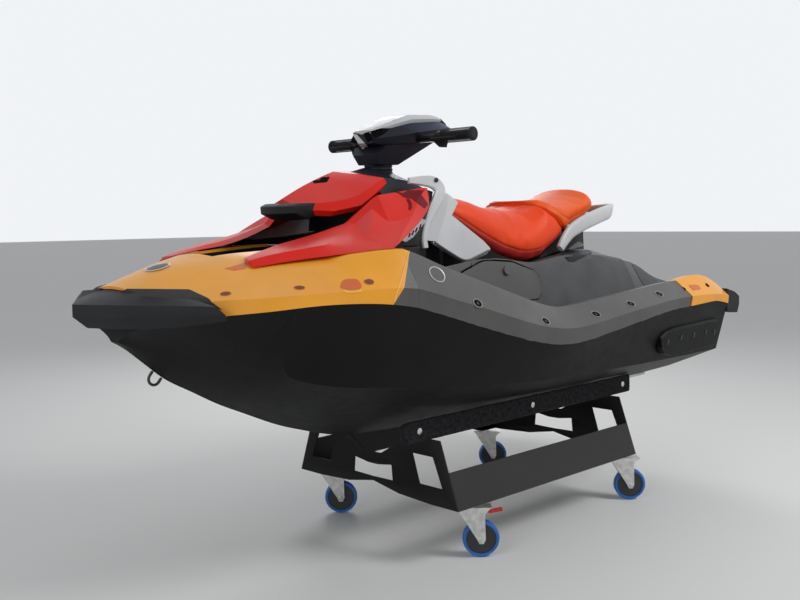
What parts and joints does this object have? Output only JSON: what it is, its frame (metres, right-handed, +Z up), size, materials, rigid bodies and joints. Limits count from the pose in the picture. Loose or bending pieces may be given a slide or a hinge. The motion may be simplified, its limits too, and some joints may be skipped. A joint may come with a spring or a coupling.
{
  "type": "personal watercraft",
  "caption": "Personal watercraft with a stepped seat, hinged front hood, steering head and jet pump, resting on a carpeted bunk trolley with swivel casters.",
  "frame": {"origin": "on the floor, under the middle of the bounding box", "axes": "+X towards the bow, +Y to port, +Z up"},
  "size_m": [2.78, 1.1682, 1.4989],
  "materials": {
    "black_shell": "moulded, satin black",
    "blue_tread": "blue elastic tread on a dark core",
    "carpet": "dark bunk carpet",
    "charcoal_rubber": "matte charcoal",
    "grey_satin": "satin mid grey",
    "grip_rubber": "matte black grip",
    "light_grey": "satin light grey",
    "navy_gloss": "gloss dark navy",
    "orange_gloss": "gloss amber orange",
    "pump_alloy": "cast and machined alloy",
    "red_gloss": "gloss red",
    "red_plastic": "red pedal plastic",
    "seat_vinyl": "coated seat fabric, orange red",
    "sheet_steel_black": "powder-coated black sheet",
    "silver_satin": "satin silver grey",
    "white_gloss": "gloss off white",
    "zinc_steel": "zinc-plated pressed steel"
  },
  "bodies": {
    "craft": {"access_panel_port": "grey_satin", "access_panel_starboard": "grey_satin", "bow_bumper": "charcoal_rubber", "bow_eye": "zinc_steel", "bunk_port": "carpet", "bunk_starboard": "carpet", "corner_cap_port": "orange_gloss", "corner_cap_starboard": "orange_gloss", "cowl": "navy_gloss", "cross_frame_front": "sheet_steel_black", "cross_frame_rear": "sheet_steel_black", "deck": "grey_satin", "fairing_port": "red_gloss", "fairing_starboard": "red_gloss", "front_deck": "black_shell", "grab_handle": "light_grey", "gunwale_port": "grey_satin", "gunwale_starboard": "grey_satin", "hull": "black_shell", "intake_grate": "pump_alloy", "knee_panel_port": "silver_satin", "knee_panel_starboard": "silver_satin", "nose_panel": "orange_gloss", "pedestal": "black_shell", "pump_housing": "pump_alloy", "ride_plate": "pump_alloy", "seat_front": "seat_vinyl", "seat_rear": "seat_vinyl", "shoulder_strip_port": "light_grey", "shoulder_strip_starboard": "light_grey", "side_rail_port": "sheet_steel_black", "side_rail_starboard": "sheet_steel_black", "sponson_port": "black_shell", "sponson_starboard": "black_shell", "stern_bumper_port": "charcoal_rubber", "stern_bumper_starboard": "charcoal_rubber"},
    "hood": {"hood": "red_gloss", "hood_latch": "charcoal_rubber"},
    "steering": {"steering_neck": "navy_gloss", "head_cover": "white_gloss", "head_cheeks": "navy_gloss", "handlebar": "black_shell", "gauge": "black_shell", "grip_port": "grip_rubber", "grip_starboard": "grip_rubber", "brake_lever": "black_shell", "throttle_lever": "black_shell"},
    "impeller": {"impeller": "pump_alloy"},
    "nozzle": {"steering_nozzle": "pump_alloy"},
    "gate": {"reverse_gate": "pump_alloy"},
    "fork_front_port": {"fork_front_port": "zinc_steel", "brake_pedal": "red_plastic"},
    "wheel_front_port": {"wheel_front_port": "blue_tread"},
    "fork_front_starboard": {"fork_front_starboard": "zinc_steel"},
    "wheel_front_starboard": {"wheel_front_starboard": "blue_tread"},
    "fork_rear_port": {"fork_rear_port": "zinc_steel"},
    "wheel_rear_port": {"wheel_rear_port": "blue_tread"},
    "fork_rear_starboard": {"fork_rear_starboard": "zinc_steel"},
    "wheel_rear_starboard": {"wheel_rear_starboard": "blue_tread"}
  },
  "joints": [
    {"name": "hood_hinge", "type": "hinge", "parent": "craft", "child": "hood", "pos_m": [0.40449, 0, 1.2872], "axis": [0, -1, 0], "range_deg": [0, 45]},
    {"name": "steering_turn", "type": "hinge", "parent": "craft", "child": "steering", "pos_m": [0.23908, 0, 1.3208], "axis": [-0.454, 0, 0.891], "range_deg": [-25, 25]},
    {"name": "impeller_spin", "type": "hinge", "parent": "craft", "child": "impeller", "pos_m": [-1.13738, 0, 0.47856], "axis": [1, 0, 0], "continuous": true},
    {"name": "nozzle_turn", "type": "hinge", "parent": "craft", "child": "nozzle", "pos_m": [-1.26038, 0, 0.47856], "axis": [0, 0, 1], "range_deg": [-22, 22]},
    {"name": "gate_hinge", "type": "hinge", "parent": "nozzle", "child": "gate", "pos_m": [-1.31148, 0, 0.47856], "axis": [0, -1, 0], "range_deg": [0, 70]},
    {"name": "swivel_front_port", "type": "hinge", "parent": "craft", "child": "fork_front_port", "pos_m": [0.197, 0.357, 0.184], "axis": [0, 0, 1], "continuous": true},
    {"name": "roll_front_port", "type": "hinge", "parent": "fork_front_port", "child": "wheel_front_port", "pos_m": [0.16823, 0.38479, 0.0625], "axis": [-0.6947, -0.7193, 0], "continuous": true},
    {"name": "swivel_front_starboard", "type": "hinge", "parent": "craft", "child": "fork_front_starboard", "pos_m": [0.197, -0.357, 0.184], "axis": [0, 0, 1], "continuous": true},
    {"name": "roll_front_starboard", "type": "hinge", "parent": "fork_front_starboard", "child": "wheel_front_starboard", "pos_m": [0.16823, -0.32921, 0.0625], "axis": [-0.6947, -0.7193, 0], "continuous": true},
    {"name": "swivel_rear_port", "type": "hinge", "parent": "craft", "child": "fork_rear_port", "pos_m": [-0.712, 0.357, 0.184], "axis": [0, 0, 1], "continuous": true},
    {"name": "roll_rear_port", "type": "hinge", "parent": "fork_rear_port", "child": "wheel_rear_port", "pos_m": [-0.74077, 0.38479, 0.0625], "axis": [-0.6947, -0.7193, 0], "continuous": true},
    {"name": "swivel_rear_starboard", "type": "hinge", "parent": "craft", "child": "fork_rear_starboard", "pos_m": [-0.712, -0.357, 0.184], "axis": [0, 0, 1], "continuous": true},
    {"name": "roll_rear_starboard", "type": "hinge", "parent": "fork_rear_starboard", "child": "wheel_rear_starboard", "pos_m": [-0.74077, -0.32921, 0.0625], "axis": [-0.6947, -0.7193, 0], "continuous": true}
  ],
  "couplings": [
    {"joint": "nozzle_turn", "follows": "steering_turn", "ratio": -0.88}
  ]
}
